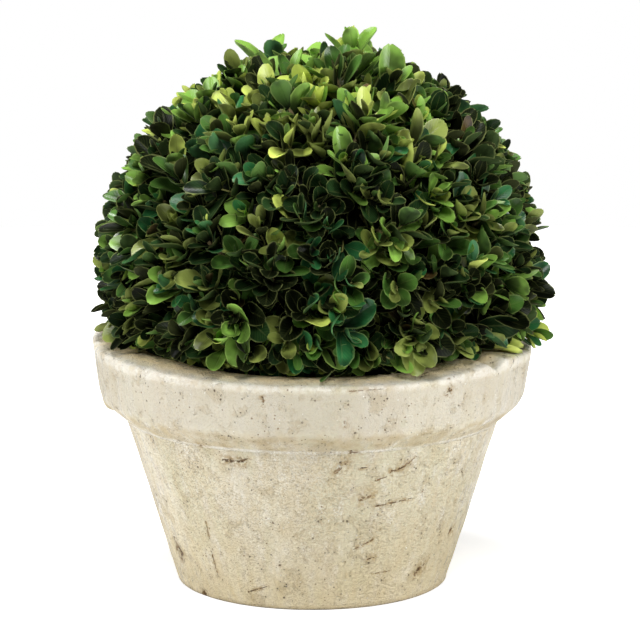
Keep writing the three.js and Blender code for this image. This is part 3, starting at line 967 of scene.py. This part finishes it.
lowest = over_lip(LOWEST_SHOOT_OVER_LIP)
fine_shoots = [fine_shoot(spiral_direction(i, FINE_SHOOTS, lowest), FINE_JITTER, TURN_UP)
               for i in range(FINE_SHOOTS)]
for count, height, turn_up in FINE_SKIRTS:
    # Each row is also turned a little, by as many radians as it is metres over the lip
    row = [ring_direction(i, count, over_lip(height), height) for i in range(count)]
    fine_shoots += [fine_shoot(direction, SKIRT_JITTER, turn_up) for direction in row]


def over_rim(angle, radius, height):
    """Point over the lip, by degrees from the camera side, radius and height over the lip in mm."""
    turn = math.radians(angle)
    point = Vector((radius * math.sin(turn), -radius * math.cos(turn), height)) * MM
    point.z += POT_HEIGHT + float(lip_rise(point.x, point.y))
    return point


lip_leaves = [(over_rim(*root), over_rim(*tip), tint) for root, tip, tint in LIP_LEAVES]
for i in range(HANGING_LEAVES):
    angle = 360 * i / HANGING_LEAVES
    root = [between(plant_draws, *span) for span in HANGING_ROOT]
    tip = [between(plant_draws, *span) for span in HANGING_TIP]
    lip_leaves.append((over_rim(angle, *root), over_rim(angle + wander(HANGING_WANDER), *tip), ""))
stalks = []
for root, tip, _ in lip_leaves:
    parent = nearest_twig(root)
    way = (parent[-3] - parent[-4]).normalized()
    stalks.append(bend(parent[-4], way, root, (tip - root).normalized(), LIMB_STEPS))

bough_mesh = limbs_mesh("boughs", boughs, 4)
bough_points = points_of(bough_mesh)
push_out(bough_mesh, BOUGH_KNOBS * noise_at(bough_points, (420, 420, 420)))
young_bark = bark_material("young_bark", paint(146, 132, 92), paint(92, 80, 50), 700)
add_piece(bough_mesh, "foliage", old_bark)
tapered_twigs = [tapered(twig, TWIG_FOOT_RADIUS, TWIG_TIP_RADIUS) for twig in twigs]
add_piece(limbs_mesh("twigs", tapered_twigs, 1), "foliage", young_bark)

green_bark, tree, shader = new_material("green_shoot")
shoot_mottle = grain(tree, object_place(tree), 300, 3)
colour = lay(tree, shoot_mottle, paint(122, 128, 62), paint(158, 152, 92))
fill(shader, {"Base Color": colour, "Roughness": 0.6})
thin_shoots = [tapered(shoot, FINE_FOOT_RADIUS, FINE_TIP_RADIUS) for shoot in fine_shoots + stalks]
add_piece(limbs_mesh("shoots", thin_shoots, 0), "foliage", green_bark)

# Leaves: small leathery box leaves in opposite pairs, each pair a quarter turn from the last, with
# young ones at the shoot's tip. A few shaped leaves are laid along every shoot and joined by tint.
LEAF_COLUMNS = 4
LEAF_ROWS = 6
WEDGE_ROWS = 3
LEAF_WIDEST = 0.6
LEAF_SHAPES = 8
LEAF_THICKNESS = 0.03
LEAF_FOOT = 0.09
LEAF_KEEL = 0.012
TIP_TURN = math.radians(80)
ATLAS_MARGIN = 0.01
LEAF_SEED = 77
PIECE_LEAVES = 2000

# Spans of a leaf's form for its length of 1: width, cup, curl, twist, sway and notch
LEAF_FORM = [(0.46, 0.6), (0.12, 0.5), (-0.06, 0.16), (-0.22, 0.22), (-0.06, 0.06), (0, 0.035)]

# One shoot's leaves from its tip down: distance from the tip and length in mm, tilt in degrees
LEAF_PAIRS = [
    (1.0, 8.0, 12),
    (3.4, 12.5, 26),
    (7.5, 15.5, 38),
    (12.5, 16.5, 48),
    (18.5, 16.0, 56),
    (25.0, 15.0, 62),
]
STRAIGHT_TIP = 8
LEAF_GAP = 0.8 * MM
LEAF_OVER_COMPOST = 3 * MM
LEAF_FOLDS = [1, 0.7, 0.4]
LEAF_HALF_WIDTH = 0.25
LEFT_OUT = 0.05
CROWN_FROM = 195 * MM
SAME_TINT = 0.7
INNER_PAIR = 4
TILT_SPREAD = 16
TURN_TO_LIGHT = 0.8
ROLL_SPREAD = 0.6
VIGOUR = (0.85, 1.28)
LONG_SHOOT_VIGOUR = 1
CROWN_VIGOUR = 0.15
SHARP_ANGLE = math.radians(70)


def shaped_leaf(draws):
    """One leaf along +X from 0 to 1, its upper side to +Z, with the two sides' UV side by side."""
    width, cup, curl, twist, sway, notch = (between(draws, *span) for span in LEAF_FORM)
    leaf = bmesh.new()
    grid = {"x_segments": LEAF_ROWS, "y_segments": LEAF_COLUMNS, "size": 0.5}
    upper = bmesh.ops.create_grid(leaf, **grid)["verts"]
    uv_layer = leaf.loops.layers.uv.new("OFBake")
    for face in leaf.faces:
        for loop in face.loops:
            u = ATLAS_MARGIN + (0.5 - 2 * ATLAS_MARGIN) * (loop.vert.co.y + 0.5)
            v = ATLAS_MARGIN + (1 - 2 * ATLAS_MARGIN) * (loop.vert.co.x + 0.5)
            loop[uv_layer].uv = (u, v)
    inner = {}
    for vertex in upper:
        row = round((vertex.co.x + 0.5) * LEAF_ROWS)
        side = 2 * vertex.co.y
        inner[vertex.index] = abs(side) < 0.9 and 0 < row < LEAF_ROWS
        if row <= WEDGE_ROWS:
            along = LEAF_WIDEST * (row / WEDGE_ROWS) ** 1.15
            swell = math.sin(math.pi / 2 * along / LEAF_WIDEST) ** 1.25
            half = LEAF_FOOT + (1 - LEAF_FOOT) * swell
        else:
            turn = TIP_TURN * (row - WEDGE_ROWS) / (LEAF_ROWS - WEDGE_ROWS)
            along = LEAF_WIDEST + (1 - LEAF_WIDEST) * math.sin(turn)
            half = math.cos(turn)
        y = side * half * width / 2
        z = cup * y * y / (width / 2) - curl * along * along + twist * y * along
        keel = -LEAF_KEEL * math.sin(math.pi * along) if side == 0 else 0
        pulled = notch if row == LEAF_ROWS and side == 0 else 0
        vertex.co = Vector((along - pulled, y + sway * along * along, z + keel))
    inner_verts = [vertex for vertex in upper if inner[vertex.index]]
    copied = bmesh.ops.duplicate(leaf, geom=leaf.verts[:] + leaf.edges[:] + leaf.faces[:])
    lower_faces = [part for part in copied["geom"] if isinstance(part, bmesh.types.BMFace)]
    bmesh.ops.reverse_faces(leaf, faces=lower_faces)
    for vertex in inner_verts:
        copied["vert_map"][vertex].co.z -= LEAF_THICKNESS
    for face in lower_faces:
        for loop in face.loops:
            loop[uv_layer].uv.x += 0.5
    bmesh.ops.remove_doubles(leaf, verts=leaf.verts[:], dist=0.0001)
    return to_mesh("leaf", leaf)


def leaf_arrays(mesh):
    """Vertices, four-cornered faces and UV of a leaf, as arrays."""
    faces = np.array([list(face.vertices) for face in mesh.polygons])
    uv = np.empty(2 * len(mesh.loops))
    mesh.uv_layers["OFBake"].data.foreach_get("uv", uv)
    return points_of(mesh), faces, uv


def in_pot(point):
    """Whether a point lies in the pot's wall or the compost, or nearer than a leaf's gap."""
    radius = math.hypot(point.x, point.y)
    lip_top = POT_HEIGHT + LIP_CROWN + lip_rise(point.x, point.y)
    if point.z > lip_top + LEAF_GAP or radius > RIM_RADIUS + LEAF_GAP:
        return False
    return radius > bore_radius(point.z) - LEAF_GAP or point.z < COMPOST_TOP + LEAF_OVER_COMPOST


leaf_draws = seeded_random(LEAF_SEED)
leaf_shapes = [leaf_arrays(shaped_leaf(leaf_draws)) for _ in range(LEAF_SHAPES)]

# Tints: share of the shoots that take each low on the ball and at its crown, and the blade's colour.
# Pale young tints gather at the crown and dark ones low down: partly the plant's own young growth,
# partly painted light on the crown and painted shade low on the ball
LEAF_TINTS = {
    # Near-black leaves: older leaves, with painted shade deep inside the ball
    "old_and_shaded": (0.28, 0.02, paint(17, 26, 12)),
    "deep": (0.23, 0.07, paint(32, 61, 30)),
    "blue_green": (0.11, 0.10, paint(46, 118, 66)),
    "mid": (0.14, 0.21, paint(82, 127, 52)),
    "olive": (0.12, 0.10, paint(146, 160, 78)),
    "fresh": (0.08, 0.34, paint(147, 195, 83)),
    "lime": (0.04, 0.16, paint(222, 239, 114)),
    "brown": (0, 0, paint(104, 80, 44)),
}
YOUNGER = {"old_and_shaded": "deep", "deep": "mid", "blue_green": "mid", "mid": "olive", "olive": "fresh",
           "fresh": "lime", "lime": "lime"}
# Darker tint that inner pairs take: older leaves, with painted shade deep in the ball
DARKER_TINT = {"old_and_shaded": "old_and_shaded", "deep": "old_and_shaded", "blue_green": "deep", "mid": "deep", "olive": "mid",
         "fresh": "mid", "lime": "olive"}
BROWNED = 0.005
OLD_TINTS = ("old_and_shaded", "deep")
OLD_GLOSS = 0.07
GLOSS = 0.45
LEAF_PALE = paint(186, 196, 120)
RIB_PALENESS = 0.42
UNDERSIDE_PALENESS = 0.08


def draw_tint(crown):
    """Tint of one shoot or leaf, by how near the crown it is."""
    left = next(leaf_draws)
    for name, (low_share, high_share, _) in LEAF_TINTS.items():
        left -= low_share + (high_share - low_share) * crown
        if left < 0:
            return name
    return "mid"


def lay_leaves(shoot, laid, vigour):
    """Lays the pairs of leaves of one shoot, folded up or left out where the pot is in the way."""
    tip = shoot[-1]
    axis = (shoot[-1] - shoot[-2]).normalized()
    lower = (shoot[-1] - shoot[-4]).normalized()
    side = axis.orthogonal().normalized()
    turn = between(leaf_draws, 0, math.pi)
    crown = (tip.z - CROWN_FROM) / (BALL_CENTRE.z + BALL_RADIUS - CROWN_FROM)
    crown = min(1, max(0, crown)) ** 1.3
    tint = draw_tint(crown)
    vigour *= 1 + CROWN_VIGOUR * crown
    for pair, (down, length, tilt) in enumerate(LEAF_PAIRS):
        for half in (0, 1):
            size = length * MM * vigour * between(leaf_draws, 0.85, 1.15)
            opened = math.radians(tilt + between(leaf_draws, -TILT_SPREAD, TILT_SPREAD))
            way = axis if down < STRAIGHT_TIP else lower
            root = tip - axis * min(down, STRAIGHT_TIP) * MM - lower * max(0, down - STRAIGHT_TIP) * MM
            hinge = Matrix.Rotation(turn + pair * math.pi / 2 + half * math.pi, 3, way) @ side
            roll = between(leaf_draws, -ROLL_SPREAD, ROLL_SPREAD)
            kept = next(leaf_draws) > LEFT_OUT
            shape = int(next(leaf_draws) * LEAF_SHAPES)
            own = tint if next(leaf_draws) < SAME_TINT else draw_tint(crown)
            if pair == 0 and half == 0:
                own = YOUNGER[own]
            # Inner pairs take darker tints: older leaves, with painted shade deep in the ball
            elif pair >= INNER_PAIR:
                own = DARKER_TINT[own]
            if next(leaf_draws) < BROWNED:
                own = "brown"
            for fold in LEAF_FOLDS:
                direction = Matrix.Rotation(opened * fold, 3, hinge) @ way
                direction.normalize()
                across = (hinge - direction * hinge.dot(direction)).normalized()
                across = Matrix.Rotation(roll, 3, direction) @ across
                up = direction.cross(across) + TURN_TO_LIGHT * Vector((0, 0, 1))
                across = up.cross(direction).normalized()
                up = direction.cross(across)
                half_width = across * size * LEAF_HALF_WIDTH
                reach = [root + direction * size * share + half_width * edge
                         for share in (0.3, 0.65, 1) for edge in (-1, 0, 1)]
                if kept and not any(in_pot(point) for point in reach):
                    laid[own].append((shape, root, direction * size, across * size, up * size))
                    break


def leaves_mesh(name, leaves):
    """One mesh of all the leaves of a tint."""
    places, faces, uvs = [], [], []
    count = 0
    for index, (shape_points, shape_faces, shape_uv) in enumerate(leaf_shapes):
        chosen = [leaf[1:] for leaf in leaves if leaf[0] == index]
        if not chosen:
            continue
        laid = np.array(chosen)
        spots = laid[:, None, 0] + np.einsum("va,nac->nvc", shape_points, laid[:, 1:])
        starts = count + len(shape_points) * np.arange(len(chosen))
        places.append(spots.reshape(-1, 3))
        faces.append((shape_faces[None] + starts[:, None, None]).reshape(-1, 4))
        uvs.append(np.tile(shape_uv, len(chosen)))
        count += len(shape_points) * len(chosen)
    mesh = bpy.data.meshes.new(name)
    mesh.from_pydata(np.concatenate(places), [], np.concatenate(faces))
    mesh.uv_layers.new(name="OFBake").data.foreach_set("uv", np.concatenate(uvs))
    return mesh


def leaf_group():
    """Leaf by its UV: pale midrib, a pale margin that is partly a painted highlight, painted shade
    towards its foot and a paler matt underside, with painted shade in patches by place.
    """
    group, given, result = new_group(
        "leaf",
        {"Blade": "NodeSocketColor", "Rib": "NodeSocketColor", "Underside": "NodeSocketColor"},
        {"Color": "NodeSocketColor", "Roughness": "NodeSocketFloat", "Height": "NodeSocketFloat"})
    uv = put(group, "ShaderNodeUVMap", {}, uv_map="OFBake")
    halves, along = (axis_of(group, uv, axis) for axis in range(2))
    under = calc(group, "GREATER_THAN", halves, 0.5)
    across = calc(group, "FRACT", times(group, halves, 2))
    from_rib = calc(group, "ABSOLUTE", calc(group, "SUBTRACT", times(group, across, 2), 1))
    rib = times(group, rise(group, from_rib, 0.10, 0.02), rise(group, along, 1, 0.3))
    margin = calc(group, "MAXIMUM", rise(group, from_rib, 0.80, 0.93), rise(group, along, 0.93, 0.975))
    slant = calc(group, "ADD", times(group, along, 30), times(group, from_rib, -9))
    veins = times(group, calc(group, "SINE", times(group, slant, 2.4)), 0.5)
    shade_black = (0, 0, 0, 1)
    colour = given["Blade"]
    for share, coat in (
            (times(group, calc(group, "ADD", veins, 0.5), 0.08), given["Rib"]),
            (times(group, rib, 0.4), given["Rib"]),
            (under, given["Underside"]),
            # Painted shade: the blade darkens towards its foot
            (times(group, rise(group, along, 0.7, 0), 0.8), shade_black),
            # Painted shade in patches, by place on the piece
            (rise(group, grain(group, object_place(group), 75, 2), 0.58, 0.36, 0.75), shade_black),
            # Pale margin, partly a painted highlight where the rolled edge catches light
            (times(group, margin, 0.75), given["Rib"])):
        colour = lay(group, share, colour, coat)
    height = calc(group, "SUBTRACT", times(group, veins, 0.12), rib)
    roughness = calc(group, "ADD", 0.29, times(group, under, 0.31))
    fill(result, {"Color": colour, "Roughness": roughness, "Height": height})
    return group


leaf_pattern = leaf_group()


def paler(blade, share):
    """A blade's colour, some way towards the pale one."""
    return [value + (pale - value) * share for value, pale in zip(blade, LEAF_PALE)]


def leaf_material(name, blade, gloss):
    """Leaf of one tint: its ribs and underside are paler versions of the blade."""
    material, tree, shader = new_material(name)
    used = stamp(tree, leaf_pattern, Blade=blade, Rib=paler(blade, RIB_PALENESS),
                 Underside=paler(blade, UNDERSIDE_PALENESS))
    bump = put(tree, "ShaderNodeBump", {"Height": used["Height"], "Distance": 0.15 * MM})
    fill(shader, {"Base Color": used["Color"], "Roughness": used["Roughness"],
                  "Specular IOR Level": gloss, "Normal": bump})
    return material


laid_leaves = {name: [] for name in LEAF_TINTS}
for index, shoot in enumerate(twigs + fine_shoots):
    is_long = index < len(LONG_SHOOT_ENDS)
    lay_leaves(shoot, laid_leaves, LONG_SHOOT_VIGOUR if is_long else between(leaf_draws, *VIGOUR))
for root, tip, tint in lip_leaves:
    way = tip - root
    roll = Matrix.Rotation(between(leaf_draws, -ROLL_SPREAD, ROLL_SPREAD), 3, way)
    across = roll @ Vector((0, 0, 1)).cross(way).normalized() * way.length
    up = way.normalized().cross(across)
    shape = int(next(leaf_draws) * LEAF_SHAPES)
    laid_leaves[tint or draw_tint(0)].append((shape, root, way, across, up))
for name, (_, _, blade) in LEAF_TINTS.items():
    blade_material = leaf_material(f"leaf_{name}", blade, OLD_GLOSS if name in OLD_TINTS else GLOSS)
    for first in range(0, len(laid_leaves[name]), PIECE_LEAVES):
        mesh = leaves_mesh(f"leaves_{name}_{first}", laid_leaves[name][first:first + PIECE_LEAVES])
        add_piece(mesh, "foliage", blade_material)
        mesh.set_sharp_from_angle(angle=SHARP_ANGLE)

# Studio: a plain white floor under soft lights from both sides, the front and above.
# The two side lights leave the pot's middle a little darker, and the top light crowns the ball.
FLOOR_RADIUS = 1.1
FLOOR_GLOW = 0.6
SKY_LIGHT = 0.07
LIGHTS = {
    "left_light": ((-1.25, -0.30, 0.60), 0.7, 10.6),
    "right_light": ((1.22, -0.40, 0.42), 0.7, 9.6),
    "front_light": ((0.05, -1.05, 1.15), 0.6, 9.1),
    "top_light": ((-0.15, 0.10, 1.3), 0.35, 12.5),
}

floor_bmesh = bmesh.new()
bmesh.ops.create_circle(floor_bmesh, segments=96, radius=FLOOR_RADIUS, cap_ends=True)
floor = put_in_scene("floor", to_mesh("floor", floor_bmesh))
floor_paint, tree, shader = new_material("floor_paint")
seen = put(tree, "ShaderNodeLightPath", {}, output="Is Camera Ray")
away = vector_calc(tree, "LENGTH", object_place(tree), output=1)
glow = calc(tree, "ADD", rise(tree, away, 0.2, 0.7, 1 - FLOOR_GLOW), FLOOR_GLOW)
fill(shader, {
    "Base Color": lay(tree, seen, (0.86, 0.86, 0.86, 1), (0.92, 0.92, 0.92, 1)),
    "Roughness": 0.7,
    "Emission Color": (1, 1, 1, 1),
    "Emission Strength": times(tree, seen, glow),
})
floor.data.materials.append(floor_paint)

for name, (spot, size, power) in LIGHTS.items():
    light = bpy.data.lights.new(name, "AREA")
    light.shape = "DISK"
    light.size = size
    light.energy = power
    lamp = put_in_scene(name, light)
    lamp.location = Vector(spot)
    lamp.rotation_euler = (lamp.location - BALL_CENTRE).to_track_quat("Z", "Y").to_euler()

world = bpy.data.worlds.new("studio")
world.use_nodes = True
bpy.context.scene.world = world
seen = put(world.node_tree, "ShaderNodeLightPath", {}, output="Is Camera Ray")
strength = put(world.node_tree, "ShaderNodeMapRange", {"Value": seen, "To Min": SKY_LIGHT, "To Max": 1})
fill(world.node_tree.nodes["Background"], {"Color": (1, 1, 1, 1), "Strength": strength})
bpy.context.scene.view_settings.view_transform = "Standard"
